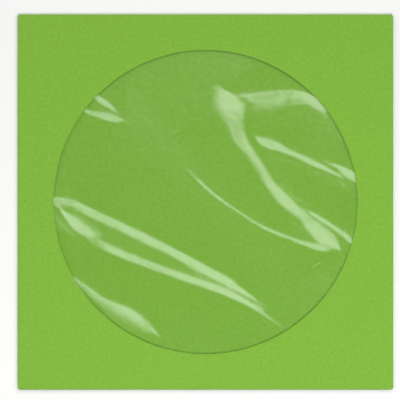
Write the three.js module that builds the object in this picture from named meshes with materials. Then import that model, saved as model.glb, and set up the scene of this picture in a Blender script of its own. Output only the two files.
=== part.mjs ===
// A square paper sleeve for one disc, lying face up. One die-cut sheet is folded into the envelope:
// a front panel with a round window, two side tabs, a back panel glued to the tabs, and a closing
// flap folded down behind. A patch of clear film is gummed behind the window and hangs slack in it.
// Millimetres, +Z up. The origin is the middle of the sleeve on the surface that it lies on, the
// flap's fold is at +Y and the window looks along +Z.
import * as THREE from "three";
import { mergeVertices } from "three/addons/utils/BufferGeometryUtils.js";

// Overall sizes
const sleeveSide = 124;
const windowBorder = 11.75; // paper between the window and the middle of each side

// Thicknesses of the sheets and of the dried adhesive
const paper = 0.12;
const film = 0.04;
const gum = 0.03;

// Clearances: seat is left between stacked faces, slip is the free play between loose layers
const seat = 0.02;
const slip = 0.1;

// Side tabs, back panel and closing flap
const tabWidth = 8;
const tabChamfer = 6;
const cornerRelief = 0.1; // each fold stops this far short of the front panel's corners
const throatDepth = 6; // from the top fold down to the back panel's upper edge
const flapDepth = 36;
const flapTaper = 7;
const flapCorner = 12;

// How the panels stand open
const edgeLift = 0.3; // the flap's fold floats this far above the table
const frontRun = 17; // the front panel levels out over this distance from its folds
const backRun = 20; // and the back panel over this one
const flapStep = 8; // the back panel climbs on to the flap over this distance

// Film patch and the ring of gum that holds it
const gumSetback = 3.25; // from the window's cut edge to the gum
const gumWidth = 3;
const patchMargin = 1; // film outside the gum at the middle of each side
const seamGumWidth = 5;
const seamGumEnd = 10; // the seam gum stops this far short of the tab's ends

// The slack film
const foldSlope = 0.068; // slope of the film in the middle of a fold
const filmCrown = 0.2; // rise of the film's middle over its level at the window's cut edge
const underFilm = 0.05; // free height between the film's lowest point and the layers behind it

// The film's folds. In each the film falls towards the upper right, between two slower climbs. A
// stop on a fold gives its place across and up from the window's middle and its half width, in
// hundredths of the window's radius.
const folds = {
  longUpperCrease: [
    [-108.5, 0.5, 3.5], [-99, 0, 4], [-91, -1, 4.5], [-80.5, -4.5, 4], [-66, -11.5, 4],
    [-36, -26, 4], [-9.5, -39.5, 3.5], [10, -49.5, 3], [17.5, -54, 3], [23.5, -58, 1.5],
    [38.5, -67.5, 0.5],
  ],
  longLowerCrease: [
    [-95, -4.5, 1.5], [-90.5, -10, 2.5], [-85.5, -15.5, 4], [-76.5, -23, 3.5], [-65.5, -30, 3.5],
    [-42.5, -39.5, 3.5], [-22.5, -47, 3.5], [0.5, -55, 3], [14, -60, 2.5], [28.5, -67.5, 2],
    [36.5, -72.5, 2], [52.5, -83.5, 0.5],
  ],
  shortUnderLong: [
    [-102.5, -4, 2.5], [-100, -8.5, 3.5], [-96.5, -13.5, 4], [-92.5, -17.5, 3.5],
    [-82.5, -25, 0.5],
  ],
  slanting: [
    [10, 73.5, 1.5], [14, 68.5, 5.5], [17.5, 62, 8], [20, 54, 7], [22, 46, 5.5],
    [25.5, 37.5, 4.5], [32.5, 27, 4.5], [41.5, 13, 4], [52.5, -0.5, 4.5], [65.5, -11.5, 4],
    [75.5, -20.5, 6.5], [81.5, -25.5, 6.5], [85.5, -29, 3.5], [88, -32, 1],
  ],
  slantingUpperArm: [
    [25.5, 69.5, 2.5], [31.5, 69.5, 4], [43, 70, 4], [57, 70.5, 3.5], [65, 69, 3],
    [77.5, 62.5, 4.5],
  ],
  slantingLowerArm: [
    [-9, 19, 0.5], [0.5, 9.5, 1], [11, 1, 1], [22, -6.5, 1], [38, -16.5, 1.5], [51, -21.5, 2],
    [64, -26.5, 2.5], [76, -30.5, 2.5], [82, -32, 1],
  ],
  right: [
    [33.5, 43, 1], [37, 40.5, 3.5], [42.5, 38.5, 4.5], [49, 36, 3.5], [55.5, 33, 2.5],
    [69.5, 26.5, 2.5], [82, 20.5, 1.5], [90, 16.5, 0.5],
  ],
  rightRim: [[80.5, 26, 0.5], [86.5, 23.5, 1.5], [93, 19.5, 3], [104, 13.5, 4]],
  lowerRight: [[68, -6.5, 0.5], [75, -10.5, 1.5], [88, -19.5, 1.5], [102.5, -30.5, 2.5]],
  upperLeft: [[-76.5, 74.5, 0.5], [-71.5, 69, 2], [-66, 65, 2.5], [-57, 58.5, 0.5]],
  upperLeftLowerCrease: [
    [-83.5, 63, 1], [-75.5, 59, 2], [-66, 57, 3.5], [-59, 55, 3], [-54.5, 54, 0.5],
  ],
  lowerLeft: [
    [-87.5, -50, 2], [-78, -58, 3.5], [-69, -65.5, 4.5], [-59.5, -71.5, 6.5], [-50.5, -76, 8],
    [-43, -80, 7], [-36.5, -84, 4.5], [-31.5, -87.5, 1.5],
  ],
};

// Mesh densities
const ringSteps = 18; // steps along each quarter of the window, and along each side of the film patch
const filmSteps = 2 * ringSteps; // the slack film has twice as many
const bendSteps = 4; // facets round a bend of the paper
const pathSteps = 6; // steps between two stops of a fold in the film

// Derived sizes
const half = sleeveSide / 2;
const windowRadius = half - windowBorder;
const gumInner = windowRadius + gumSetback;
const gumOuter = gumInner + gumWidth;
const patchHalf = gumOuter + patchMargin;
const seamPlay = 2 * seat + gum;

const lerp = THREE.MathUtils.lerp;
const clamp = THREE.MathUtils.clamp;

// Evenly spaced values, both ends included
function spread(from, to, steps) {
  return Array.from({ length: steps + 1 }, (_, i) => lerp(from, to, i / steps));
}

// A ring round the window as a list of places, side by side from the right: at(share) gives a
// place for each share from -1 to 1 along the right-hand quarter
function ring(steps, at) {
  const places = [];
  for (let quarter = 0; quarter < 4; quarter++) {
    const turn = (quarter * Math.PI) / 2;
    for (let i = 0; i < steps; i++) {
      const [x, y] = at(-1 + (2 * i) / steps);
      places.push([
        x * Math.cos(turn) - y * Math.sin(turn),
        x * Math.sin(turn) + y * Math.cos(turn),
      ]);
    }
  }
  return places;
}

function circleRing(radius, steps = ringSteps) {
  return ring(steps, (share) => {
    const angle = Math.asin(share / Math.SQRT2);
    return [radius * Math.cos(angle), radius * Math.sin(angle)];
  });
}

function patchRing() {
  return ring(ringSteps, (share) => [patchHalf, patchHalf * share]);
}

// Rows of places all over the window: a square grid drawn out to a disc
function windowRows() {
  const shares = spread(-1, 1, filmSteps);
  return shares.map((v) => shares.map((u) => [
    windowRadius * u * Math.sqrt(1 - (v * v) / 2),
    windowRadius * v * Math.sqrt(1 - (u * u) / 2),
  ]));
}

// Smooth paths through the stops of the folds, as x, y and half width in window radii
const foldPaths = Object.values(folds).map((stops) => {
  const points = stops.map((stop) => new THREE.Vector3(...stop).divideScalar(100));
  return new THREE.CatmullRomCurve3(points, false, "catmullrom", 0.5)
    .getPoints(pathSteps * (stops.length - 1));
});

// Height of a fold with a slope of 1, over a place in window radii: the fall across the fold's own
// width, and the climbs that bring the film back on both sides and past the fold's ends
function foldHeight(path, place) {
  let nearest = Infinity;
  let side = 0;
  let past = 0;
  let width = 1;
  for (let i = 0; i + 1 < path.length; i++) {
    const start = new THREE.Vector2(path[i].x, path[i].y);
    const run = new THREE.Vector2(path[i + 1].x, path[i + 1].y).sub(start);
    const offset = place.clone().sub(start);
    const along = offset.dot(run) / run.length();
    const share = clamp(along / run.length(), 0, 1);
    const distance = offset.distanceTo(run.clone().multiplyScalar(share));
    if (distance < nearest) {
      nearest = distance;
      side = run.cross(offset) / run.length();
      past = Math.max(0, i === 0 ? -along : 0, i === path.length - 2 ? along - run.length() : 0);
      width = lerp(path[i].z, path[i + 1].z, share);
    }
  }
  const fall = clamp(side / width, -1, 1);
  const recovery = 0.12 + 4.5 * width;
  const fade = 0.066;
  const sides = 1 - THREE.MathUtils.smoothstep(Math.abs(side) - width, 0, recovery);
  const ends = 1 - THREE.MathUtils.smoothstep(past, 0, fade);
  return -width * (fall - fall ** 5 / 5) * sides * ends;
}

// Height of all the folds over a place in the window
function folded(x, y) {
  const place = new THREE.Vector2(x, y).divideScalar(windowRadius);
  const heights = foldPaths.map((path) => foldHeight(path, place));
  return foldSlope * windowRadius * heights.reduce((sum, height) => sum + height, 0);
}

// The slack film against its gummed level. It stays under the paper all along the cut edge.
const rimDrop = Math.max(...circleRing(windowRadius, filmSteps).map(([x, y]) => folded(x, y)));

function slack(x, y) {
  const crown = filmCrown * (1 - (x * x + y * y) / windowRadius ** 2);
  return folded(x, y) + crown - rimDrop;
}

const lowestSlack = Math.min(...windowRows().flat().map(([x, y]) => slack(x, y)));

// Levels of the middle of each sheet at the folds, from the table up
const flapEdge = paper / 2 + edgeLift;
const backEdge = flapEdge + paper + slip;
const tabEdge = backEdge + paper + seamPlay;
const frontEdge = tabEdge + paper + film + seamPlay + slip;
const overFlap = 2.5 * paper + slip;
const frontTop = overFlap + underFilm + film / 2 - lowestSlack + film / 2 + seamPlay;

// Fold radii, to the middle of the paper, and the fold lines that they leave on the front panel
const sideBend = (frontEdge - tabEdge) / 2;
const bottomBend = (frontEdge - backEdge) / 2;
const topBend = (frontEdge - flapEdge) / 2;
const sideLine = half - paper / 2 - sideBend;
const bottomLine = half - paper / 2 - bottomBend;
const topLine = half - paper / 2 - topBend;
const seamLine = sideLine - tabWidth;
const flapTip = topLine - flapDepth;
const throat = topLine - throatDepth;
const panelHalf = sideLine - cornerRelief; // half width of the back panel and the flap

// Share of the full opening of a panel at a distance from where it is held
function opening(distance, run) {
  const left = clamp(1 - distance / run, 0, 1);
  return 1 - left * left;
}

// The front panel's height over a place on it
function frontLevel(x, y) {
  const across = opening(sideLine - Math.abs(x), frontRun);
  const along = opening(Math.min(topLine - y, y + bottomLine), frontRun);
  return frontEdge + (frontTop - frontEdge) * across * along;
}

// The back panel lies on the table, climbs on to the flap, and is held up by the folds and seams
function backLevel(x, y) {
  const onFlap = (paper + slip) * THREE.MathUtils.smoothstep(y, flapTip - flapStep, flapTip);
  const across = opening(seamLine - Math.abs(x), backRun);
  const along = opening(Math.min(topLine - y, y + bottomLine), backRun);
  const lift = backEdge - paper / 2 - onFlap;
  return paper / 2 + onFlap + lift * (1 - across * along);
}

function flapLevel(x, y) {
  return backLevel(x, y) - paper - slip;
}

// A thin sheet of even thickness: points on its middle surface, each with the direction that the
// thickness is laid off in, and faces between them. Its rim closes wherever a face has no neighbour.
class Sheet {
  constructor(thickness) {
    this.thickness = thickness;
    this.points = [];
    this.index = new Map();
    this.faces = [];
  }

  // The same key, such as a place on the flat blank, gives the same point
  point(key, place, outward) {
    const name = key.map((value) => value.toFixed(4)).join(" ");
    if (!this.index.has(name)) {
      this.index.set(name, this.points.length);
      this.points.push({ place, outward });
    }
    return this.index.get(name);
  }

  triangle(a, b, c) {
    if (a !== b && b !== c && c !== a) this.faces.push([a, b, c]);
  }

  // rows of points with as many in each
  grid(rows) {
    for (let j = 0; j + 1 < rows.length; j++) {
      for (let i = 0; i + 1 < rows[j].length; i++) {
        this.triangle(rows[j][i], rows[j][i + 1], rows[j + 1][i + 1]);
        this.triangle(rows[j][i], rows[j + 1][i + 1], rows[j + 1][i]);
      }
    }
  }

  // a closed ring of points joined to another with half as many
  taper(fine, coarse) {
    for (let i = 0; i < coarse.length; i++) {
      const next = (i + 1) % coarse.length;
      const middle = fine[2 * i + 1];
      this.triangle(fine[2 * i], coarse[i], middle);
      this.triangle(middle, coarse[i], coarse[next]);
      this.triangle(middle, coarse[next], fine[(2 * i + 2) % fine.length]);
    }
  }

  geometry() {
    const offset = (side) => this.points.map(({ place, outward }) =>
      place.clone().addScaledVector(outward, (side * this.thickness) / 2));
    const places = [...offset(1), ...offset(-1)];
    const under = this.points.length;
    const faces = [];
    const open = new Map();
    for (const [a, b, c] of this.faces) {
      faces.push(a, b, c, under + c, under + b, under + a);
      for (const [from, to] of [[a, b], [b, c], [c, a]]) {
        if (!open.delete(`${to} ${from}`)) open.set(`${from} ${to}`, [from, to]);
      }
    }
    for (const [from, to] of open.values()) {
      faces.push(to, from, under + from, to, under + from, under + to);
    }
    const made = new THREE.BufferGeometry();
    made.setAttribute("position", new THREE.Float32BufferAttribute(
      places.flatMap((place) => place.toArray()), 3));
    made.setIndex(faces);
    return made;
  }
}

const up = new THREE.Vector3(0, 0, 1);
const down = new THREE.Vector3(0, 0, -1);

// Where a sheet goes when it runs past a fold line: out and round the bend, then back underneath
function bend(past, radius) {
  const turn = Math.min(past / radius, Math.PI);
  return {
    out: radius * Math.sin(turn) - Math.max(0, past - Math.PI * radius),
    drop: radius * (1 - Math.cos(turn)),
    turn,
    under: past >= Math.PI * radius - 1e-9,
  };
}

// Folds a place on the flat blank: u runs across, v up the sleeve, and the front panel is in place
function foldBlank(u, v) {
  if (Math.abs(u) > sideLine + 1e-9) {
    const side = Math.sign(u);
    const { out, drop, turn, under } = bend(Math.abs(u) - sideLine, sideBend);
    const x = side * (sideLine + out);
    const z = under ? tabEdge : frontEdge - drop;
    const outward = new THREE.Vector3(side * Math.sin(turn), 0, Math.cos(turn));
    return { place: new THREE.Vector3(x, v, z), outward: under ? down : outward };
  }
  const atTop = v > topLine + 1e-9;
  if (atTop || v < -bottomLine - 1e-9) {
    const side = atTop ? 1 : -1;
    const line = atTop ? topLine : bottomLine;
    const level = atTop ? flapLevel : backLevel;
    const { out, drop, turn, under } = bend(Math.abs(v) - line, atTop ? topBend : bottomBend);
    const y = side * (line + out);
    const z = under ? level(u, y) : frontEdge - drop;
    const outward = new THREE.Vector3(0, side * Math.sin(turn), Math.cos(turn));
    return { place: new THREE.Vector3(u, y, z), outward: under ? down : outward };
  }
  return { place: new THREE.Vector3(u, v, frontLevel(u, v)), outward: up };
}

// Distances past a fold line of the facets round its bend
function bendRows(radius) {
  return spread(0, Math.PI * radius, bendSteps);
}

// The rings that the front panel, its gum and the film patch share
const gumRings = [circleRing(gumInner), circleRing(gumOuter)];

// Positions along one edge of the front panel: its two corners, the fold's two ends, and between
function edgeStops(low, high, lowEnd, highEnd) {
  return [low, ...spread(lowEnd, highEnd, ringSteps - 2), high];
}

const acrossStops = edgeStops(-sideLine, sideLine, -panelHalf, panelHalf);
const upStops = edgeStops(-bottomLine, topLine, -bottomLine + cornerRelief, topLine - cornerRelief);

function panelRing() {
  const sides = [
    upStops.map((y) => [sideLine, y]),
    acrossStops.map((x) => [-x, topLine]),
    upStops.toReversed().map((y) => [-sideLine, y]),
    acrossStops.map((x) => [x, -bottomLine]),
  ];
  return sides.flatMap((side) => side.slice(0, -1));
}

// The paper envelope, folded from one sheet
function envelopeGeometry() {
  const sheet = new Sheet(paper);
  const put = (u, v) => {
    const { place, outward } = foldBlank(u, v);
    return sheet.point([u, v], place, outward);
  };
  const loop = (places) => [...places, places[0]].map(([u, v]) => put(u, v));

  // front panel, from the window's cut edge out to the folds
  sheet.grid([circleRing(windowRadius), ...gumRings, patchRing(), panelRing()].map(loop).toReversed());

  // side tabs, with slanted ends
  const bottom = upStops[1];
  const top = upStops[ringSteps - 1];
  for (const side of [-1, 1]) {
    const bent = bendRows(sideBend);
    const arc = bent[bendSteps];
    const columns = [...bent, ...spread(arc, arc + tabWidth, 2).slice(1)].map((past) => {
      const cut = (tabChamfer * Math.max(0, past - arc)) / tabWidth;
      return spread(bottom + cut, top - cut, ringSteps - 2).map((v) => put(side * (sideLine + past), v));
    });
    sheet.grid(side > 0 ? columns.toReversed() : columns);
  }

  // back panel, folded up behind from the bottom
  const backBent = bendRows(bottomBend);
  const backArc = backBent[bendSteps];
  const backStops = [-bottomLine, ...spread(-bottomLine + 4, backRun - bottomLine, 4),
    ...spread(flapTip - flapStep, flapTip, 3), lerp(flapTip, throat, 0.4), lerp(flapTip, throat, 0.7), throat];
  const backRows = [...backBent, ...backStops.slice(1).map((y) => backArc + y + bottomLine)];
  sheet.grid(backRows.map((past) => acrossStops.slice(1, -1).map((u) => put(u, -bottomLine - past))).toReversed());

  // closing flap, folded down behind from the top
  const flapBent = bendRows(topBend);
  const flapArc = flapBent[bendSteps];
  const straight = spread(0, flapDepth - flapCorner, 3).slice(1);
  const rounded = spread(0, Math.PI / 2, 5).slice(1).map((a) => flapDepth - flapCorner * (1 - Math.sin(a)));
  const flapRows = [...flapBent, ...[...straight, ...rounded].map((reach) => flapArc + reach)].map((past) => {
    const reach = Math.max(0, past - flapArc);
    const round = Math.max(0, reach - (flapDepth - flapCorner));
    const cut = (flapTaper * reach) / flapDepth + flapCorner - Math.sqrt(Math.max(0, flapCorner ** 2 - round ** 2));
    return spread(-panelHalf + cut, panelHalf - cut, ringSteps - 2).map((u) => put(u, topLine + past));
  });
  sheet.grid(flapRows);
  return sheet.geometry();
}

// The middle of the film patch: gummed flat outside, slack inside
function filmLevel(x, y) {
  const gummed = frontLevel(x, y) - paper / 2 - seamPlay - film / 2;
  const radius = Math.hypot(x, y);
  const free = 1 - THREE.MathUtils.smoothstep(radius, windowRadius, gumInner);
  return free > 0 ? gummed + free * slack(x, y) : gummed;
}

function filmGeometry() {
  const sheet = new Sheet(film);
  const put = (x, y) => sheet.point([x, y], new THREE.Vector3(x, y, filmLevel(x, y)), up);
  const loop = (places) => [...places, places[0]].map(([x, y]) => put(x, y));

  // slack film
  sheet.grid(windowRows().map((row) => row.map(([x, y]) => put(x, y))));

  // from the cut edge to the gum, under the paper, and the gummed flange
  const fine = loop(circleRing(windowRadius, filmSteps)).slice(0, -1);
  const under = circleRing((windowRadius + gumInner) / 2);
  sheet.taper(fine, loop(under).slice(0, -1));
  sheet.grid([under, ...gumRings, patchRing()].map(loop).toReversed());
  return sheet.geometry();
}

// The ring of dried gum between the film and the front panel
function windowGumGeometry() {
  const sheet = new Sheet(gum);
  const level = (x, y) => frontLevel(x, y) - (paper + gum) / 2 - seat;
  const loop = (places) => [...places, places[0]].map(([x, y]) =>
    sheet.point([x, y], new THREE.Vector3(x, y, level(x, y)), up));
  sheet.grid(gumRings.map(loop).toReversed());
  return sheet.geometry();
}

// A strip of dried gum between a side tab and the back panel
function seamGumGeometry() {
  return new THREE.BoxGeometry(seamGumWidth, throat + bottomLine - 2 * seamGumEnd, gum);
}

const paperMaterial = new THREE.MeshStandardMaterial({ color: 0x80b543, roughness: 0.9, metalness: 0 });
const filmMaterial = new THREE.MeshStandardMaterial({
  color: 0xeef4ea, roughness: 0.08, metalness: 0, transparent: true, opacity: 0.2 });
const gumMaterial = new THREE.MeshStandardMaterial({ color: 0xe9e4cf, roughness: 0.4, metalness: 0 });

const sleeve = new THREE.Group();

function add(name, geometry, material) {
  const closed = geometry.clone();
  closed.deleteAttribute("normal");
  closed.deleteAttribute("uv");
  const mesh = new THREE.Mesh(mergeVertices(closed), material);
  mesh.geometry.computeVertexNormals();
  mesh.name = name;
  sleeve.add(mesh);
  return mesh;
}

add("paper_envelope", envelopeGeometry(), paperMaterial);
add("window_film", filmGeometry(), filmMaterial);
add("window_gum", windowGumGeometry(), gumMaterial);
for (const [name, side] of [["seam_gum_left", -1], ["seam_gum_right", 1]]) {
  const strip = add(name, seamGumGeometry(), gumMaterial);
  strip.position.set(
    side * (seamLine + tabWidth / 2), (throat - bottomLine) / 2, backEdge + (paper + gum) / 2 + seat);
}

export default sleeve;
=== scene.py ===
"""A square paper sleeve for one disc, with a round window of wrinkled clear film.

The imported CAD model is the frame. The paper envelope and the film patch are remade here as finer
sheets from the same sizes, and the dried adhesive keeps its CAD solids with a better finish.
Sizes are in metres, +Z is up, and the sleeve lies on the floor with its window up.
"""
import math

import bmesh
import bpy
import numpy as np
from mathutils import Matrix, Vector


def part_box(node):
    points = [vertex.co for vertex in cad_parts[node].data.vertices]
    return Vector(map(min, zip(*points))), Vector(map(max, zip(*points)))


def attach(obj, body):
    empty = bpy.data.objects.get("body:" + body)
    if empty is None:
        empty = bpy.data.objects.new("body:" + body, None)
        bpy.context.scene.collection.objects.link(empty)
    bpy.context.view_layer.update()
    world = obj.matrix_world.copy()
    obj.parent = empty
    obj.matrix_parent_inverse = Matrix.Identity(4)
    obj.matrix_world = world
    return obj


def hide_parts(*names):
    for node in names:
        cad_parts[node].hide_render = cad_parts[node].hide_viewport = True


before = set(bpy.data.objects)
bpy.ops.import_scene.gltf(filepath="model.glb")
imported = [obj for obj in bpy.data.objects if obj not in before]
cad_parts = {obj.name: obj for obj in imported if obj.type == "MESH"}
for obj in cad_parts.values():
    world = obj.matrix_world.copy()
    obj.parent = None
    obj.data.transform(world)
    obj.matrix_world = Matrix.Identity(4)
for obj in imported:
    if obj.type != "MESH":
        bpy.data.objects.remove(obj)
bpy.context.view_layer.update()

bl_info = {
    "name": "Paper disc sleeve",
    "version": (1, 0, 0),
    "blender": (4, 5, 0),
    "location": "3D View > Sidebar > Disc Sleeve",
    "description": "Makes a paper disc sleeve with a film window, and a studio to show it in",
    "category": "Add Mesh",
}

MM = 0.001
SLEEVE_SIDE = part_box("paper_envelope")[1][0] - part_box("paper_envelope")[0][0]
PATCH_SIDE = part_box("window_film")[1][0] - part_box("window_film")[0][0]

# Rows of faces that each part of the paper has
PANEL_RINGS = 14
BEND_ROWS = 12
TAB_ROWS = 5
BACK_ROWS = 59
FLAP_ROWS = 13
FLAP_CORNER_ROWS = 11

# A fold's path has this many short lines between two stops. Past each of its ends a fold fades over
# a share of the window's radius, and beside its fall the film climbs back over another share of it
# and some of its half widths.
PATH_STEPS = 6
END_FADE = 0.066
CLIMB_RUN = 0.12
CLIMB_WIDTHS = 4.5

# A cut edge stays sharp in the shading, because it turns by more than this
CUT_EDGE_TURN = math.radians(50)

# Room for rounding where two lengths are compared
ROUNDING = 1e-9

# Places of a Mix node's sockets, whose names its kinds of data share
MIX_VALUE_A, MIX_VALUE_B, MIX_VALUE_RESULT = 2, 3, 0
MIX_COLOUR_A, MIX_COLOUR_B, MIX_COLOUR_RESULT = 6, 7, 2

# How dark the dried adhesive gets in patches, as a share of its colour
GUM_SHADE = 0.85

# Softboxes, each with its place, its two sides, its watts and the direction of its first side
SOFTBOXES = {
    "Top softbox": ((0.35, 1.4, 1.4), (0.7, 0.7), 8.0, (1, 0, 0)),
    "Left softbox": ((-0.9, 0.15, 0.9), (0.3, 0.6), 2.3, (0, 0, 1)),
    "Right softbox": ((0.9, 0.15, 0.9), (0.3, 0.6), 2.3, (0, 0, 1)),
    "Near softbox": ((0.04, -0.2, 0.4), (0.18, 0.18), 0.85, (1, 0, 0)),
}

# The strip light, which the folds mirror, lies along most of them. It leans away from straight
# above by shares of its height, across the folds and along them.
STRIP_TURN = math.radians(-30)
STRIP_HEIGHT = 4.0
STRIP_ACROSS = 0.17
STRIP_ALONG = 0.03
STRIP_SIDES = (1.12, 0.72)
STRIP_WATTS = 6.6

# How far the glow round the strip light reaches in a direction of length 1, how bright it is in its
# middle, and the power that it falls off with
GLOW_ALONG = 0.45
GLOW_ACROSS = 0.3
GLOW_STRENGTH = 2.3
GLOW_FALL = 3.0

# The floor reaches this far from the sleeve, and the camera sees this far
FLOOR_REACH = 3.0
VIEW_REACH = 100.0

# The folds of the slack film. In each the film falls towards the upper right, between two slower
# climbs. A stop on a fold gives its place across and up from the window's middle and its half
# width, in hundredths of the window's radius.
FOLDS = {
    "long fold, upper crease": [
        (-108.5, 0.5, 3.5), (-99, 0, 4), (-91, -1, 4.5), (-80.5, -4.5, 4), (-66, -11.5, 4),
        (-36, -26, 4), (-9.5, -39.5, 3.5), (10, -49.5, 3), (17.5, -54, 3), (23.5, -58, 1.5),
        (38.5, -67.5, 0.5),
    ],
    "long fold, lower crease": [
        (-95, -4.5, 1.5), (-90.5, -10, 2.5), (-85.5, -15.5, 4), (-76.5, -23, 3.5),
        (-65.5, -30, 3.5), (-42.5, -39.5, 3.5), (-22.5, -47, 3.5), (0.5, -55, 3), (14, -60, 2.5),
        (28.5, -67.5, 2), (36.5, -72.5, 2), (52.5, -83.5, 0.5),
    ],
    "short fold under the long one": [
        (-102.5, -4, 2.5), (-100, -8.5, 3.5), (-96.5, -13.5, 4), (-92.5, -17.5, 3.5),
        (-82.5, -25, 0.5),
    ],
    "slanting fold": [
        (10, 73.5, 1.5), (14, 68.5, 5.5), (17.5, 62, 8), (20, 54, 7), (22, 46, 5.5),
        (25.5, 37.5, 4.5), (32.5, 27, 4.5), (41.5, 13, 4), (52.5, -0.5, 4.5), (65.5, -11.5, 4),
        (75.5, -20.5, 6.5), (81.5, -25.5, 6.5), (85.5, -29, 3.5), (88, -32, 1),
    ],
    "slanting fold, upper arm": [
        (25.5, 69.5, 2.5), (31.5, 69.5, 4), (43, 70, 4), (57, 70.5, 3.5), (65, 69, 3),
        (77.5, 62.5, 4.5),
    ],
    "slanting fold, lower arm": [
        (-9, 19, 0.5), (0.5, 9.5, 1), (11, 1, 1), (22, -6.5, 1), (38, -16.5, 1.5), (51, -21.5, 2),
        (64, -26.5, 2.5), (76, -30.5, 2.5), (82, -32, 1),
    ],
    "right fold": [
        (33.5, 43, 1), (37, 40.5, 3.5), (42.5, 38.5, 4.5), (49, 36, 3.5), (55.5, 33, 2.5),
        (69.5, 26.5, 2.5), (82, 20.5, 1.5), (90, 16.5, 0.5),
    ],
    "right fold, at the rim": [(80.5, 26, 0.5), (86.5, 23.5, 1.5), (93, 19.5, 3), (104, 13.5, 4)],
    "lower right fold": [(68, -6.5, 0.5), (75, -10.5, 1.5), (88, -19.5, 1.5), (102.5, -30.5, 2.5)],
    "upper left fold": [(-76.5, 74.5, 0.5), (-71.5, 69, 2), (-66, 65, 2.5), (-57, 58.5, 0.5)],
    "upper left fold, lower crease": [
        (-83.5, 63, 1), (-75.5, 59, 2), (-66, 57, 3.5), (-59, 55, 3), (-54.5, 54, 0.5),
    ],
    "lower left fold": [
        (-87.5, -50, 2), (-78, -58, 3.5), (-69, -65.5, 4.5), (-59.5, -71.5, 6.5), (-50.5, -76, 8),
        (-43, -80, 7), (-36.5, -84, 4.5), (-31.5, -87.5, 1.5),
    ],
}

# How much steeper each fall is on the left of its path than in its middle, as a share
LEANS = {
    "long fold, upper crease": 0.3,
    "long fold, lower crease": -0.3,
    "slanting fold": 0.3,
    "slanting fold, upper arm": 0.6,
    "slanting fold, lower arm": -0.4,
    "right fold": -0.3,
    "upper left fold, lower crease": -0.5,
    "lower left fold": 0.3,
}

# Fainter falls between and beside them, each with its slope as a share of theirs and its lean
SOFT_FOLDS = {
    "start of the long fold": (0.35, 0.4, [
        (-107, 1, 2), (-99, 1, 3.5), (-91, 0, 4), (-82, -3.5, 4), (-71.5, -8.5, 2),
    ]),
    "left end of the long fold": (0.6, -0.3, [
        (-94, -6.5, 1.5), (-88.5, -10, 4.5), (-82, -14, 6), (-74, -18.5, 4), (-66, -23, 0.5),
    ]),
    "inside of the long fold": (0.42, 0, [
        (-90, -8.5, 2), (-76.5, -13.5, 8.5), (-55.5, -22, 10.5), (-29.5, -33.5, 10),
        (-3, -47, 8.5), (21, -59.5, 6), (38, -69.5, 2.5),
    ]),
    "lower crease of the long fold": (0.4, -0.3, [
        (-70, -24, 0.5), (-61, -30, 3.5), (-51.5, -34.5, 4), (-41, -39, 4), (-26, -44.5, 3.5),
        (-12, -49.5, 2.5), (-1.5, -53.5, 0.5),
    ]),
    "right part of the long fold": (0.3, 0, [
        (-13.5, -42, 0.5), (-3, -47, 4), (7.5, -52.5, 5), (18, -58.5, 4), (28.5, -64.5, 2),
        (38, -70.5, 0.5),
    ]),
    "over the long fold": (0.4, 0, [
        (-104.5, 8, 2), (-98, 7, 3.5), (-91, 6, 3.5), (-83.5, 2, 2),
    ]),
    "corner of the slanting fold": (0.45, 0.5, [
        (18.5, 62, 2), (26, 62.5, 6), (33.5, 63, 7.5), (41, 63.5, 6.5), (48.5, 64, 5),
        (56, 64.5, 3.5), (63.5, 65, 1.5),
    ]),
    "left edge of the slanting fold": (0.4, -0.2, [
        (7, 73, 1.5), (9, 67.5, 4), (11, 60.5, 4.5), (13.5, 52.5, 3.5), (17.5, 44, 2),
        (23.5, 35, 0.5),
    ]),
    "lower end of the slanting fold": (0.4, 0.3, [
        (57.5, -14, 1.5), (65, -18, 4), (71.5, -22, 5.5), (78, -26, 4), (83.5, -29, 2),
    ]),
    "beside the slanting fold": (0.36, 0, [
        (43, 29.5, 1.5), (46.5, 20.5, 2.5), (52.5, 9.5, 3.5), (63, -1.5, 4), (75, -10, 3.5),
        (89.5, -18, 2.5), (104, -24.5, 2),
    ]),
    "under the right fold": (0.36, 0, [
        (49.5, 28, 1.5), (61.5, 23.5, 2.5), (76, 17.5, 3.5), (90.5, 10.5, 3.5), (105, 3, 2.5),
    ]),
    "upper edge of the lower left fold": (0.3, 0.4, [
        (-91, -47, 1.5), (-80.5, -53, 2.5), (-70, -59, 4), (-59.5, -65.5, 4.5), (-50.5, -72, 4),
        (-44, -78.5, 2),
    ]),
    "veil across the middle": (0.18, 0, [
        (-83.5, 106, 6.5), (-66, 85, 9), (-46, 58.5, 12), (-22.5, 30, 13), (7, 0.5, 13),
        (38, -26, 12), (71, -49.5, 9), (102.5, -68.5, 6.5),
    ]),
    "veil over the long fold": (0.22, 0, [
        (-115, 35, 2.5), (-94, 23, 5.5), (-66, 7, 6.5), (-36, -8.5, 5.5), (-9.5, -23, 2.5),
    ]),
}


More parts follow.
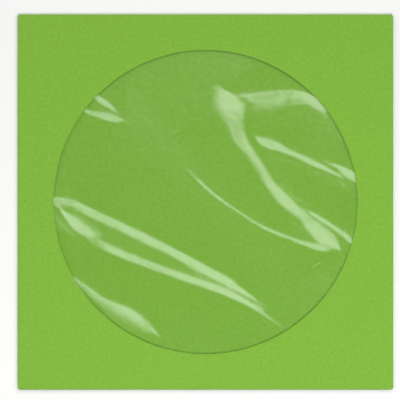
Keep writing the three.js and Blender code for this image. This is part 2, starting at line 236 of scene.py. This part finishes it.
class SleeveSizes(bpy.types.PropertyGroup):
    """Sizes of the sheets, which follow the CAD model"""

    side: bpy.props.FloatProperty(
        name="Side", description="Side of the square sleeve", default=SLEEVE_SIDE,
        unit="LENGTH", subtype="DISTANCE")
    patch: bpy.props.FloatProperty(
        name="Film patch", description="Side of the square film patch", default=PATCH_SIDE,
        unit="LENGTH", subtype="DISTANCE")
    window: bpy.props.FloatProperty(
        name="Window radius", description="Radius of the round window", default=50.25 * MM,
        unit="LENGTH", subtype="DISTANCE")
    gum_setback: bpy.props.FloatProperty(
        name="Gum setback", description="From the window's cut edge to the adhesive",
        default=3.25 * MM, unit="LENGTH", subtype="DISTANCE")
    paper: bpy.props.FloatProperty(
        name="Paper", description="Thickness of the paper", default=0.12 * MM, precision=5,
        unit="LENGTH", subtype="DISTANCE")
    film: bpy.props.FloatProperty(
        name="Film", description="Thickness of the film", default=0.04 * MM, precision=5,
        unit="LENGTH", subtype="DISTANCE")
    seam_play: bpy.props.FloatProperty(
        name="Seam play", description="Gap that an adhesive layer takes up between two sheets",
        default=0.07 * MM, precision=5, unit="LENGTH", subtype="DISTANCE")
    slip: bpy.props.FloatProperty(
        name="Slip", description="Free play between loose layers", default=0.1 * MM, precision=5,
        unit="LENGTH", subtype="DISTANCE")
    edge_lift: bpy.props.FloatProperty(
        name="Edge lift", description="Height of the flap's fold above the floor",
        default=0.3 * MM, precision=5, unit="LENGTH", subtype="DISTANCE")
    seat: bpy.props.FloatProperty(
        name="Seat", description="Gap between two faces that are stuck together",
        default=0.02 * MM, precision=5, unit="LENGTH", subtype="DISTANCE")
    crown: bpy.props.FloatProperty(
        name="Film crown", description="Rise of the film's middle over its level at the cut edge",
        default=0.2 * MM, precision=5, unit="LENGTH", subtype="DISTANCE")
    fold_slope: bpy.props.FloatProperty(
        name="Fold slope", description="Slope of the film in the middle of a fold",
        default=0.068, min=0, max=1)
    tab: bpy.props.FloatProperty(
        name="Side tab", description="Width of the side tabs", default=8 * MM,
        unit="LENGTH", subtype="DISTANCE")
    throat: bpy.props.FloatProperty(
        name="Throat", description="From the top fold down to the back panel's upper edge",
        default=6 * MM, unit="LENGTH", subtype="DISTANCE")
    flap: bpy.props.FloatProperty(
        name="Flap", description="Depth of the closing flap", default=36 * MM,
        unit="LENGTH", subtype="DISTANCE")
    flap_taper: bpy.props.FloatProperty(
        name="Flap taper", description="How far each side of the flap slants in", default=7 * MM,
        unit="LENGTH", subtype="DISTANCE")
    flap_corner: bpy.props.FloatProperty(
        name="Flap corner", description="Radius of the flap's corners", default=12 * MM,
        unit="LENGTH", subtype="DISTANCE")
    tab_chamfer: bpy.props.FloatProperty(
        name="Tab slant", description="How far the ends of a side tab slant in", default=6 * MM,
        unit="LENGTH", subtype="DISTANCE")


class SleeveFinish(bpy.types.PropertyGroup):
    """Colours of the sleeve's materials"""

    paper_colour: bpy.props.FloatVectorProperty(
        name="Paper", description="Colour of the dyed paper", subtype="COLOR", size=3,
        min=0, max=1, default=(0.205, 0.435, 0.046))
    gum_colour: bpy.props.FloatVectorProperty(
        name="Adhesive", description="Colour of the dried adhesive", subtype="COLOR", size=3,
        min=0, max=1, default=(0.8, 0.77, 0.62))
    film_ior: bpy.props.FloatProperty(
        name="Film gloss", description="Index of refraction that stands for both faces of the film",
        default=1.8, min=1.0, max=3.0)


class StudioSettings(bpy.types.PropertyGroup):
    """Camera and lamps of the studio"""

    camera_height: bpy.props.FloatProperty(
        name="Camera height", description="Height of the camera over the floor", default=2.5,
        unit="LENGTH", subtype="DISTANCE")
    view_width: bpy.props.FloatProperty(
        name="View width", description="Width of floor that fills the picture",
        default=132.2 * MM, unit="LENGTH", subtype="DISTANCE")
    view_centre: bpy.props.FloatVectorProperty(
        name="View centre", description="Point of the sleeve in the middle of the picture",
        size=2, default=(-1.82 * MM, 0.66 * MM), unit="LENGTH", subtype="XYZ")


def smooth_share(value):
    """Eases a share from 0 to 1, and holds it outside that range"""
    held = np.clip(value, 0.0, 1.0)
    return held * held * (3 - 2 * held)


def opening(distance, run):
    """Share of the full opening of a panel at a distance from where it is held"""
    left = np.clip(1 - distance / run, 0.0, 1.0)
    return 1 - left * left


class Fit:
    """Levels, fold radii and fold lines worked out from the sizes, all for the middle of a sheet

    The front and the back panel open over their run from where they are held, and the back panel
    steps up over the flap.
    """

    front_run = 17 * MM
    back_run = 20 * MM
    flap_step = 8 * MM
    corner_relief = 0.1 * MM

    def __init__(self, sizes):
        self.sizes = sizes
        half = sizes.side / 2
        self.flap_edge = sizes.paper / 2 + sizes.edge_lift
        self.back_edge = self.flap_edge + sizes.paper + sizes.slip
        self.tab_edge = self.back_edge + sizes.paper + sizes.seam_play
        self.front_edge = self.tab_edge + sizes.paper + sizes.film + sizes.seam_play + sizes.slip
        self.front_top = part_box("window_gum")[1].z + sizes.seat + sizes.paper / 2
        self.side_bend = (self.front_edge - self.tab_edge) / 2
        self.bottom_bend = (self.front_edge - self.back_edge) / 2
        self.top_bend = (self.front_edge - self.flap_edge) / 2
        self.side_line = half - sizes.paper / 2 - self.side_bend
        self.bottom_line = half - sizes.paper / 2 - self.bottom_bend
        self.top_line = half - sizes.paper / 2 - self.top_bend
        self.seam_line = self.side_line - sizes.tab
        self.flap_tip = self.top_line - sizes.flap
        self.throat = self.top_line - sizes.throat
        self.panel_half = self.side_line - self.corner_relief

    def front_level(self, x, y):
        """Middle of the front panel, which rises from its folds to lie on the film's adhesive"""
        across = opening(self.side_line - np.abs(x), self.front_run)
        along = opening(np.minimum(self.top_line - y, y + self.bottom_line), self.front_run)
        return self.front_edge + (self.front_top - self.front_edge) * across * along

    def back_level(self, x, y):
        """Middle of the back panel, which sags from its seams onto the floor and the flap"""
        paper = self.sizes.paper
        climb = smooth_share((y - self.flap_tip + self.flap_step) / self.flap_step)
        on_flap = (paper + self.sizes.slip) * climb
        across = opening(self.seam_line - np.abs(x), self.back_run)
        along = opening(np.minimum(self.top_line - y, y + self.bottom_line), self.back_run)
        lift = self.back_edge - paper / 2 - on_flap
        return paper / 2 + on_flap + lift * (1 - across * along)

    def flap_level(self, x, y):
        """Middle of the flap, just under the back panel"""
        return self.back_level(x, y) - self.sizes.paper - self.sizes.slip

    def gummed_level(self, x, y):
        """Middle of the film where it is gummed behind the front panel"""
        sizes = self.sizes
        return self.front_level(x, y) - sizes.paper / 2 - sizes.seam_play - sizes.film / 2


def smooth_path(stops, steps):
    """A Catmull-Rom path through the stops of a fold, with each half width eased in the same way"""
    stops = np.array(stops) / 100
    held = np.vstack([2 * stops[0] - stops[1], stops, 2 * stops[-1] - stops[-2]])
    path = []
    for a, b, c, d in zip(held, held[1:], held[2:], held[3:]):
        for share in np.arange(steps) / steps:
            path.append(b + 0.5 * share * (
                c - a + share * (2 * a - 5 * b + 4 * c - d + share * (3 * (b - c) + d - a))))
    return np.array(path + [stops[-1]])


def fold_height(stops, lean, x, y):
    """Height of one fold with a slope of 1 over places in the window, in shares of its radius"""
    path = smooth_path(stops, PATH_STEPS)
    nearest = np.full(x.shape, np.inf)
    side = np.zeros(x.shape)
    past = np.zeros(x.shape)
    width = np.ones(x.shape)
    last = len(path) - 2
    for i, (start, end) in enumerate(zip(path, path[1:])):
        run = end[:2] - start[:2]
        length = math.hypot(*run)
        along = ((x - start[0]) * run[0] + (y - start[1]) * run[1]) / length ** 2
        share = np.clip(along, 0.0, 1.0)
        distance = np.hypot(x - start[0] - share * run[0], y - start[1] - share * run[1])
        closer = distance < nearest
        nearest = np.where(closer, distance, nearest)
        side = np.where(closer, (run[0] * (y - start[1]) - run[1] * (x - start[0])) / length, side)
        outside = np.zeros(x.shape)
        if i == 0:
            outside = np.maximum(outside, -along * length)
        if i == last:
            outside = np.maximum(outside, (along - 1) * length)
        past = np.where(closer, outside, past)
        width = np.where(closer, start[2] + (end[2] - start[2]) * share, width)
    fall = np.clip(side / width, -1.0, 1.0)
    height = -width * (fall - fall ** 5 / 5 + lean * (fall ** 2 / 2 - fall ** 6 / 6 - 1 / 3))
    climb = smooth_share(1 - (np.abs(side) - width) / (CLIMB_RUN + CLIMB_WIDTHS * width))
    return height * climb * smooth_share(1 - past / END_FADE)


def folded(sizes, folds, x, y):
    """Height over places in the window of folds that each have a share of the fold slope and a lean"""
    across, along = x / sizes.window, y / sizes.window
    heights = [share * fold_height(stops, lean, across, along) for share, lean, stops in folds]
    return sizes.fold_slope * sizes.window * sum(heights)


def new_piece(name, mesh_maker, material, thickness):
    """Makes a sheet piece from a bmesh, gives it its wall, and shades it smooth up to its cut edges"""
    mesh = bpy.data.meshes.new(name)
    made = bmesh.new()
    mesh_maker(made)
    for face in made.faces:
        face.smooth = True
    made.to_mesh(mesh)
    made.free()
    piece = bpy.data.objects.new(name, mesh)
    bpy.context.scene.collection.objects.link(piece)
    mesh.materials.append(material)
    wall = piece.modifiers.new("Sheet thickness", "SOLIDIFY")
    wall.thickness = thickness
    wall.offset = 0
    wall.use_even_offset = True
    shown = piece.evaluated_get(bpy.context.evaluated_depsgraph_get())
    piece.data = bpy.data.meshes.new_from_object(shown)
    piece.modifiers.clear()
    piece.data.set_sharp_from_angle(angle=CUT_EDGE_TURN)
    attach(piece, "root")
    return piece


def stops_between(low, high, low_end, high_end, steps):
    """Stops along one edge of the front panel: its corners, the fold's two ends, and between"""
    return [low, *np.linspace(low_end, high_end, steps - 1), high]


def circle_places(radius, steps):
    """Places on a circle, quarter by quarter from the lower right, closer together at the corners"""
    angle = np.arcsin((-1 + 2 * np.arange(steps) / steps) / math.sqrt(2))
    turns = [angle + quarter * math.pi / 2 for quarter in range(4)]
    return [(radius * math.cos(turn), radius * math.sin(turn)) for turn in np.concatenate(turns)]


def panel_places(fit, steps):
    """Places on the front panel's fold lines, in the same order"""
    relief = fit.corner_relief
    up = stops_between(
        -fit.bottom_line, fit.top_line, relief - fit.bottom_line, fit.top_line - relief, steps)
    across = stops_between(-fit.side_line, fit.side_line, -fit.panel_half, fit.panel_half, steps)
    return (
        [(fit.side_line, y) for y in up[:-1]]
        + [(-x, fit.top_line) for x in across[:-1]]
        + [(-fit.side_line, y) for y in up[:0:-1]]
        + [(x, -fit.bottom_line) for x in across[:-1]]
    )


def extrude_row(made, edges, place):
    """Extrudes a row of edges, puts each new point at its place and gives back the new edges"""
    new = bmesh.ops.extrude_edge_only(made, edges=edges)["geom"]
    points = {part for part in new if isinstance(part, bmesh.types.BMVert)}
    for point in points:
        point.co.xy = place(point)
    edges = [part for part in new if isinstance(part, bmesh.types.BMEdge)]
    return [edge for edge in edges if points.issuperset(edge.verts)]


def bend(past, radius):
    """How far out and down a sheet goes past a fold line, and whether it is right underneath"""
    turn = min(past / radius, math.pi)
    out = radius * math.sin(turn) - max(0.0, past - math.pi * radius)
    return out, radius * (1 - math.cos(turn)), past >= math.pi * radius - ROUNDING


def fold_blank(fit, u, v):
    """Folds a place on the flat blank, whose front panel is in place"""
    if abs(u) > fit.side_line + ROUNDING:
        out, drop, under = bend(abs(u) - fit.side_line, fit.side_bend)
        x = math.copysign(fit.side_line + out, u)
        return x, v, fit.tab_edge if under else fit.front_edge - drop
    if v > fit.top_line + ROUNDING:
        out, drop, under = bend(v - fit.top_line, fit.top_bend)
        y = fit.top_line + out
        return u, y, fit.flap_level(u, y) if under else fit.front_edge - drop
    if v < -fit.bottom_line - ROUNDING:
        out, drop, under = bend(-v - fit.bottom_line, fit.bottom_bend)
        y = -fit.bottom_line - out
        return u, y, fit.back_level(u, y) if under else fit.front_edge - drop
    return u, v, fit.front_level(u, v)


def tab_rows(fit, arc):
    """How far out each row of a side tab is, and how far its ends are cut in"""
    sizes = fit.sizes
    rows = np.linspace(0, sizes.tab, TAB_ROWS + 1)[1:]
    return [(arc + reach, sizes.tab_chamfer * reach / sizes.tab) for reach in rows]


def back_rows(fit, arc):
    """How far out each row of the back panel is"""
    rows = np.linspace(0, fit.throat + fit.bottom_line, BACK_ROWS + 1)[1:]
    return [(arc + reach, 0.0) for reach in rows]


def flap_rows(fit, arc):
    """How far out each row of the flap is, and how far its tapered and rounded sides come in"""
    sizes = fit.sizes
    corner = sizes.flap_corner
    turns = np.linspace(0, math.pi / 2, FLAP_CORNER_ROWS + 1)[1:]
    straight = np.linspace(0, sizes.flap - corner, FLAP_ROWS + 1)[1:]
    rounded = sizes.flap - corner + corner * np.sin(turns)
    rows = []
    for reach in np.concatenate([straight, rounded]):
        into = max(0.0, reach - (sizes.flap - corner))
        curve = corner - math.sqrt(max(0.0, corner ** 2 - into ** 2))
        rows.append((arc + reach, sizes.flap_taper * reach / sizes.flap + curve))
    return rows


def make_envelope(made, fit, steps=60):
    """Grows the flat blank outwards from the window's cut edge, then folds it"""
    sizes = fit.sizes
    gum_inner = sizes.window + sizes.gum_setback
    around = made.verts.layers.int.new("around")
    cut = circle_places(sizes.window, steps)
    gummed = circle_places(gum_inner, steps)
    outline = panel_places(fit, steps)
    rings = [np.array(gummed) + (np.array(outline) - np.array(gummed)) * share
             for share in np.linspace(0, 1, PANEL_RINGS)]
    start = bmesh.ops.create_circle(made, segments=4 * steps, radius=sizes.window)["verts"]
    for i, point in enumerate(start):
        point[around] = i
        point.co.xy = cut[i]
    edges = made.edges[:]
    for places in rings:
        edges = extrude_row(made, edges, lambda point: places[point[around]])

    low_end = fit.corner_relief - fit.bottom_line
    high_end = fit.top_line - fit.corner_relief
    sides = (
        (fit.side_bend, tab_rows, lambda past, along, cut_in: (
            fit.side_line + past, low_end + cut_in + along * (high_end - low_end - 2 * cut_in))),
        (fit.top_bend, flap_rows, lambda past, along, cut_in: (
            (1 - 2 * along) * (fit.panel_half - cut_in), fit.top_line + past)),
        (fit.side_bend, tab_rows, lambda past, along, cut_in: (
            -fit.side_line - past, high_end - cut_in - along * (high_end - low_end - 2 * cut_in))),
        (fit.bottom_bend, back_rows, lambda past, along, cut_in: (
            (2 * along - 1) * (fit.panel_half - cut_in), -fit.bottom_line - past)),
    )
    for quarter, (radius, panel_rows, place) in enumerate(sides):
        first = quarter * steps + 1
        last = first + steps - 2
        row = [edge for edge in edges if all(first <= end[around] <= last for end in edge.verts)]
        arc = math.pi * radius
        bends = [(past, 0.0) for past in np.linspace(0, arc, BEND_ROWS + 1)[1:]]
        for past, cut_in in bends + panel_rows(fit, arc):
            row = extrude_row(made, row, lambda point: place(
                past, (point[around] - first) / (steps - 2), cut_in))
    bmesh.ops.recalc_face_normals(made, faces=made.faces[:])
    for point in made.verts:
        point.co = fold_blank(fit, point.co.x, point.co.y)


def make_slack_film(made, fit, steps=220, rim_steps=360):
    """Lays down a grid as the gummed film patch, slack and folded in the window, over the back panel"""
    sizes = fit.sizes
    bmesh.ops.create_grid(made, x_segments=steps, y_segments=steps, size=sizes.patch / 2)
    places = np.array([vert.co[:2] for vert in made.verts])
    x, y = places.T
    radius = np.hypot(x, y)
    free = 1 - smooth_share((radius - sizes.window) / sizes.gum_setback)
    turn = np.linspace(0, 2 * math.pi, rim_steps)
    cut_edge = sizes.window * np.cos(turn), sizes.window * np.sin(turn)
    folds = [(1.0, LEANS.get(name, 0.0), stops) for name, stops in FOLDS.items()]
    folds += SOFT_FOLDS.values()
    rim_drop = folded(sizes, folds, *cut_edge).max() - sizes.seam_play / 2
    crown = sizes.crown * (1 - (radius / sizes.window) ** 2)
    level = fit.gummed_level(x, y) + free * (folded(sizes, folds, x, y) + crown - rim_drop)
    lying = fit.back_level(x, y) + sizes.paper / 2 + sizes.film / 2
    # Where the slack film hangs lowest it eases into lying on the back panel
    play = level - lying
    level = lying + (play + np.hypot(play, sizes.seam_play)) / 2
    for vert, height in zip(made.verts, level):
        vert.co.z = height


def node(tree, kind, **values):
    """Adds a shader node and sets its own values and its sockets' values by name"""
    made = tree.nodes.new(kind)
    for name, value in values.items():
        if hasattr(made, name):
            setattr(made, name, value)
        else:
            made.inputs[name.replace("_", " ")].default_value = value
    return made


def maths(tree, operation, *values):
    """Adds a math node, links or sets its inputs in order and gives back its output"""
    made = node(tree, "ShaderNodeMath", operation=operation)
    for socket, value in zip(made.inputs, values):
        if isinstance(value, bpy.types.NodeSocket):
            tree.links.new(value, socket)
        else:
            socket.default_value = value
    return made.outputs[0]


def new_material(name):
    """Adds a material with an empty node tree"""
    material = bpy.data.materials.new(name)
    material.use_nodes = True
    material.node_tree.nodes.clear()
    return material, material.node_tree


def fibre_group():
    """Paper fibre: a mottled colour and the height of its felted surface"""
    name = "Paper fibre"
    if name in bpy.data.node_groups:
        return bpy.data.node_groups[name]
    group = bpy.data.node_groups.new(name, "ShaderNodeTree")
    group.interface.new_socket("Vector", in_out="INPUT", socket_type="NodeSocketVector")
    colour = group.interface.new_socket("Color", in_out="INPUT", socket_type="NodeSocketColor")
    colour.default_value = (0.5, 0.5, 0.5, 1)
    mottle = group.interface.new_socket("Mottle", in_out="INPUT", socket_type="NodeSocketFloat")
    mottle.default_value = 0.05
    group.interface.new_socket("Color", in_out="OUTPUT", socket_type="NodeSocketColor")
    group.interface.new_socket("Height", in_out="OUTPUT", socket_type="NodeSocketFloat")
    start = node(group, "NodeGroupInput")
    end = node(group, "NodeGroupOutput")
    cloud = node(group, "ShaderNodeTexNoise", Scale=900.0, Detail=4.0, Roughness=0.6)
    fibre = node(group, "ShaderNodeTexNoise", Scale=3200.0, Detail=3.0, Roughness=0.6, Distortion=1.5)
    both = node(group, "ShaderNodeMix", data_type="FLOAT")
    both.inputs["Factor"].default_value = 0.5
    shift = maths(group, "SUBTRACT", both.outputs[MIX_VALUE_RESULT], 0.5)
    amount = maths(group, "MULTIPLY", shift, start.outputs["Mottle"])
    centre = maths(group, "ADD", amount, 1.0)
    shade = node(group, "ShaderNodeVectorMath", operation="SCALE")
    link = group.links.new
    link(start.outputs["Vector"], cloud.inputs["Vector"])
    link(start.outputs["Vector"], fibre.inputs["Vector"])
    link(cloud.outputs["Fac"], both.inputs[MIX_VALUE_A])
    link(fibre.outputs["Fac"], both.inputs[MIX_VALUE_B])
    link(start.outputs["Color"], shade.inputs[0])
    link(centre, shade.inputs["Scale"])
    link(shade.outputs[0], end.inputs["Color"])
    link(both.outputs[MIX_VALUE_RESULT], end.inputs["Height"])
    return group


def paper_material(finish):
    """Matt uncoated envelope paper, dyed right through"""
    material, tree = new_material("Green envelope paper")
    link = tree.links.new
    place = node(tree, "ShaderNodeTexCoord")
    fibre = node(
        tree, "ShaderNodeGroup", node_tree=fibre_group(), Color=(*finish.paper_colour, 1), Mottle=0.75)
    bump = node(tree, "ShaderNodeBump", Strength=0.25, Distance=0.03 * MM)
    paper = node(tree, "ShaderNodeBsdfPrincipled", Roughness=0.85, Specular_IOR_Level=0.15)
    out = node(tree, "ShaderNodeOutputMaterial")
    link(place.outputs["Object"], fibre.inputs["Vector"])
    link(fibre.outputs["Color"], paper.inputs["Base Color"])
    link(fibre.outputs["Height"], bump.inputs["Height"])
    link(bump.outputs["Normal"], paper.inputs["Normal"])
    link(paper.outputs["BSDF"], out.inputs["Surface"])
    return material


def film_material(finish):
    """Clear glossy film: the face towards the eye mirrors for both, and the rest shows through"""
    material, tree = new_material("Clear window film")
    link = tree.links.new
    place = node(tree, "ShaderNodeTexCoord")
    ripple = node(tree, "ShaderNodeTexNoise", Scale=400.0, Detail=5.0, Roughness=0.6)
    bump = node(tree, "ShaderNodeBump", Strength=1.0, Distance=0.04 * MM)
    gloss = node(tree, "ShaderNodeBsdfAnisotropic", distribution="BECKMANN", Roughness=0.1)
    clear = node(tree, "ShaderNodeBsdfTransparent")
    mirror = node(tree, "ShaderNodeFresnel", IOR=finish.film_ior)
    face = node(tree, "ShaderNodeNewGeometry")
    outer = maths(tree, "SUBTRACT", 1.0, face.outputs["Backfacing"])
    share = maths(tree, "MULTIPLY", mirror.outputs["Fac"], outer)
    mix = node(tree, "ShaderNodeMixShader")
    out = node(tree, "ShaderNodeOutputMaterial")
    link(place.outputs["Object"], ripple.inputs["Vector"])
    link(ripple.outputs["Fac"], bump.inputs["Height"])
    link(bump.outputs["Normal"], gloss.inputs["Normal"])
    link(bump.outputs["Normal"], mirror.inputs["Normal"])
    for source, socket in zip((share, clear.outputs["BSDF"], gloss.outputs["BSDF"]), mix.inputs):
        link(source, socket)
    link(mix.outputs["Shader"], out.inputs["Surface"])
    return material


def gum_material(finish):
    """Dried adhesive, uneven where it was rolled on"""
    material, tree = new_material("Dried adhesive")
    link = tree.links.new
    place = node(tree, "ShaderNodeTexCoord")
    patchy = node(tree, "ShaderNodeTexNoise", Scale=700.0, Detail=3.0)
    tone = node(tree, "ShaderNodeMix", data_type="RGBA")
    darker = [GUM_SHADE * part for part in finish.gum_colour]
    tone.inputs[MIX_COLOUR_A].default_value = (*finish.gum_colour, 1)
    tone.inputs[MIX_COLOUR_B].default_value = (*darker, 1)
    rough = node(tree, "ShaderNodeMapRange", To_Min=0.3, To_Max=0.55)
    bump = node(tree, "ShaderNodeBump", Strength=0.5, Distance=0.02 * MM)
    gum = node(tree, "ShaderNodeBsdfPrincipled")
    out = node(tree, "ShaderNodeOutputMaterial")
    link(place.outputs["Object"], patchy.inputs["Vector"])
    link(patchy.outputs["Fac"], tone.inputs["Factor"])
    link(patchy.outputs["Fac"], rough.inputs["Value"])
    link(patchy.outputs["Fac"], bump.inputs["Height"])
    link(tone.outputs[MIX_COLOUR_RESULT], gum.inputs["Base Color"])
    link(rough.outputs["Result"], gum.inputs["Roughness"])
    link(bump.outputs["Normal"], gum.inputs["Normal"])
    link(gum.outputs["BSDF"], out.inputs["Surface"])
    return material


class OBJECT_OT_sleeve_envelope(bpy.types.Operator):
    """Make the folded paper envelope"""

    bl_idname = "object.sleeve_envelope"
    bl_label = "Paper Envelope"

    def execute(self, context):
        sizes = context.scene.sleeve_sizes
        fit = Fit(sizes)
        paper = paper_material(context.scene.sleeve_finish)
        piece = new_piece("Folded_envelope", lambda made: make_envelope(made, fit), paper, sizes.paper)
        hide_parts("paper_envelope")
        return {"FINISHED"}


class OBJECT_OT_sleeve_film(bpy.types.Operator):
    """Make the clear film patch with its folds"""

    bl_idname = "object.sleeve_film"
    bl_label = "Window Film"

    def execute(self, context):
        sizes = context.scene.sleeve_sizes
        fit = Fit(sizes)
        clear = film_material(context.scene.sleeve_finish)
        piece = new_piece("Wrinkled_film", lambda made: make_slack_film(made, fit), clear, sizes.film)
        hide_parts("window_film")
        return {"FINISHED"}


class OBJECT_OT_sleeve_gum(bpy.types.Operator):
    """Finish the dried adhesive of the window and the side seams"""

    bl_idname = "object.sleeve_gum"
    bl_label = "Dried Adhesive"

    def execute(self, context):
        gum = gum_material(context.scene.sleeve_finish)
        for name in ("window_gum", "seam_gum_left", "seam_gum_right"):
            bpy.data.objects[name].material_slots[0].material = gum
        return {"FINISHED"}


def add_lamp(name, place, sides, watts, first_side):
    """Adds a rectangular area lamp that faces the sleeve, with its first side along a direction"""
    data = bpy.data.lights.new(name, "AREA")
    data.shape = "RECTANGLE"
    data.size, data.size_y = sides
    data.energy = watts
    lamp = bpy.data.objects.new(name, data)
    bpy.context.scene.collection.objects.link(lamp)
    lamp.location = place
    back = Vector(place).normalized()
    upward = back.cross(Vector(first_side)).normalized()
    lamp.rotation_euler = Matrix((upward.cross(back), upward, back)).transposed().to_euler()


def daylight(tree, parts):
    """Soft daylight by the parts of a direction, dimmer straight above and on the near side"""
    above = node(
        tree, "ShaderNodeMapRange", interpolation_type="SMOOTHSTEP", From_Min=0.85, From_Max=0.96,
        To_Min=0.66, To_Max=0.1)
    far_side = node(
        tree, "ShaderNodeMapRange", interpolation_type="SMOOTHSTEP", From_Min=-0.9, From_Max=0.3,
        To_Min=0.35)
    tree.links.new(parts.outputs["Z"], above.inputs["Value"])
    tree.links.new(parts.outputs["Y"], far_side.inputs["Value"])
    return maths(tree, "MULTIPLY", above.outputs["Result"], far_side.outputs["Result"])


def strip_glow(tree, way, parts, strip, along, across):
    """An oval glow round the strip light, in the upper half of the world"""
    link = tree.links.new
    towards = strip.normalized()
    both = node(tree, "ShaderNodeCombineXYZ")
    for socket, axis, reach in (("X", along, GLOW_ALONG), ("Y", across, GLOW_ACROSS)):
        dot = node(tree, "ShaderNodeVectorMath", operation="DOT_PRODUCT")
        dot.inputs[1].default_value = axis / reach
        link(way.outputs["Generated"], dot.inputs[0])
        shift = maths(tree, "SUBTRACT", dot.outputs["Value"], axis.dot(towards) / reach)
        link(shift, both.inputs[socket])
    distance = node(tree, "ShaderNodeVectorMath", operation="LENGTH")
    near = node(tree, "ShaderNodeMapRange", To_Min=1.0, To_Max=0.0)
    link(both.outputs[0], distance.inputs[0])
    link(distance.outputs["Value"], near.inputs["Value"])
    steep = maths(tree, "POWER", near.outputs["Result"], GLOW_FALL)
    glow = maths(tree, "MULTIPLY", steep, GLOW_STRENGTH)
    upper = maths(tree, "GREATER_THAN", parts.outputs["Z"], 0.0)
    return maths(tree, "MULTIPLY", glow, upper)


def make_world(strip, along, across):
    """Daylight all round, with a glow round the strip light"""
    world = bpy.data.worlds.new("Soft studio")
    world.use_nodes = True
    tree = world.node_tree
    tree.nodes.clear()
    way = node(tree, "ShaderNodeTexCoord")
    parts = node(tree, "ShaderNodeSeparateXYZ")
    light = node(tree, "ShaderNodeBackground")
    out = node(tree, "ShaderNodeOutputWorld")
    tree.links.new(way.outputs["Generated"], parts.inputs[0])
    glow = strip_glow(tree, way, parts, strip, along, across)
    tree.links.new(maths(tree, "ADD", daylight(tree, parts), glow), light.inputs["Strength"])
    tree.links.new(light.outputs["Background"], out.inputs["Surface"])
    bpy.context.scene.world = world


def make_floor():
    """A matt white floor, wide enough to fill every view"""
    mesh = bpy.data.meshes.new("Floor")
    made = bmesh.new()
    bmesh.ops.create_grid(made, x_segments=1, y_segments=1, size=FLOOR_REACH)
    made.to_mesh(mesh)
    made.free()
    floor = bpy.data.objects.new("Floor", mesh)
    bpy.context.scene.collection.objects.link(floor)
    matt, tree = new_material("White floor")
    white = node(
        tree, "ShaderNodeBsdfPrincipled", Base_Color=(0.9, 0.9, 0.89, 1), Roughness=0.9,
        Specular_IOR_Level=0.1)
    out = node(tree, "ShaderNodeOutputMaterial")
    tree.links.new(white.outputs["BSDF"], out.inputs["Surface"])
    mesh.materials.append(matt)
    return floor


def add_lights():
    """Adds the softboxes, the strip light over the folds and the world round them"""
    for name, (place, sides, watts, first_side) in SOFTBOXES.items():
        add_lamp(name, place, sides, watts, first_side)
    along = Vector((math.cos(STRIP_TURN), math.sin(STRIP_TURN), 0))
    across = Vector((-math.sin(STRIP_TURN), math.cos(STRIP_TURN), 0))
    lean = across * STRIP_ACROSS * STRIP_HEIGHT + along * STRIP_ALONG * STRIP_HEIGHT
    strip = lean + Vector((0, 0, STRIP_HEIGHT))
    make_world(strip, along, across)
    add_lamp("Strip light", strip, STRIP_SIDES, STRIP_WATTS, along)


def add_camera(scene):
    """Adds the camera, which looks straight down at the sleeve"""
    studio = scene.sleeve_studio
    data = bpy.data.cameras.new("Camera")
    data.lens = data.sensor_width * studio.camera_height / studio.view_width
    data.clip_end = VIEW_REACH
    camera = bpy.data.objects.new("Camera", data)
    camera.location = (*studio.view_centre, studio.camera_height)
    scene.collection.objects.link(camera)
    scene.camera = camera


class OBJECT_OT_sleeve_studio(bpy.types.Operator):
    """Set up the floor, the lamps and the camera"""

    bl_idname = "object.sleeve_studio"
    bl_label = "Studio"

    def execute(self, context):
        floor = make_floor()
        add_lights()
        add_camera(context.scene)
        context.scene.view_settings.view_transform = "Standard"
        return {"FINISHED"}


class VIEW3D_PT_disc_sleeve(bpy.types.Panel):
    """Lists the pieces of the sleeve and its sizes"""

    bl_label = "Disc Sleeve"
    bl_space_type = "VIEW_3D"
    bl_region_type = "UI"
    bl_category = "Disc Sleeve"

    def draw(self, context):
        layout = self.layout
        for operator in OPERATORS:
            layout.operator(operator.bl_idname)
        for settings in (
            context.scene.sleeve_sizes, context.scene.sleeve_finish, context.scene.sleeve_studio,
        ):
            box = layout.box()
            for name in settings.__annotations__:
                box.prop(settings, name)


OPERATORS = (
    OBJECT_OT_sleeve_envelope,
    OBJECT_OT_sleeve_film,
    OBJECT_OT_sleeve_gum,
    OBJECT_OT_sleeve_studio,
)
GROUPS = {
    "sleeve_sizes": SleeveSizes,
    "sleeve_finish": SleeveFinish,
    "sleeve_studio": StudioSettings,
}


def register():
    """Registers the settings, the operators and the panel"""
    for group in GROUPS.values():
        bpy.utils.register_class(group)
    for name, group in GROUPS.items():
        setattr(bpy.types.Scene, name, bpy.props.PointerProperty(type=group))
    for shown in (*OPERATORS, VIEW3D_PT_disc_sleeve):
        bpy.utils.register_class(shown)


def unregister():
    """Unregisters the panel, the operators and the settings"""
    for shown in (VIEW3D_PT_disc_sleeve, *reversed(OPERATORS)):
        bpy.utils.unregister_class(shown)
    for name, group in GROUPS.items():
        delattr(bpy.types.Scene, name)
        bpy.utils.unregister_class(group)


def main():
    """Makes the sleeve in its studio"""
    register()
    bpy.ops.object.sleeve_studio()
    bpy.ops.object.sleeve_envelope()
    bpy.ops.object.sleeve_film()
    bpy.ops.object.sleeve_gum()


if __name__ == "__main__":
    main()
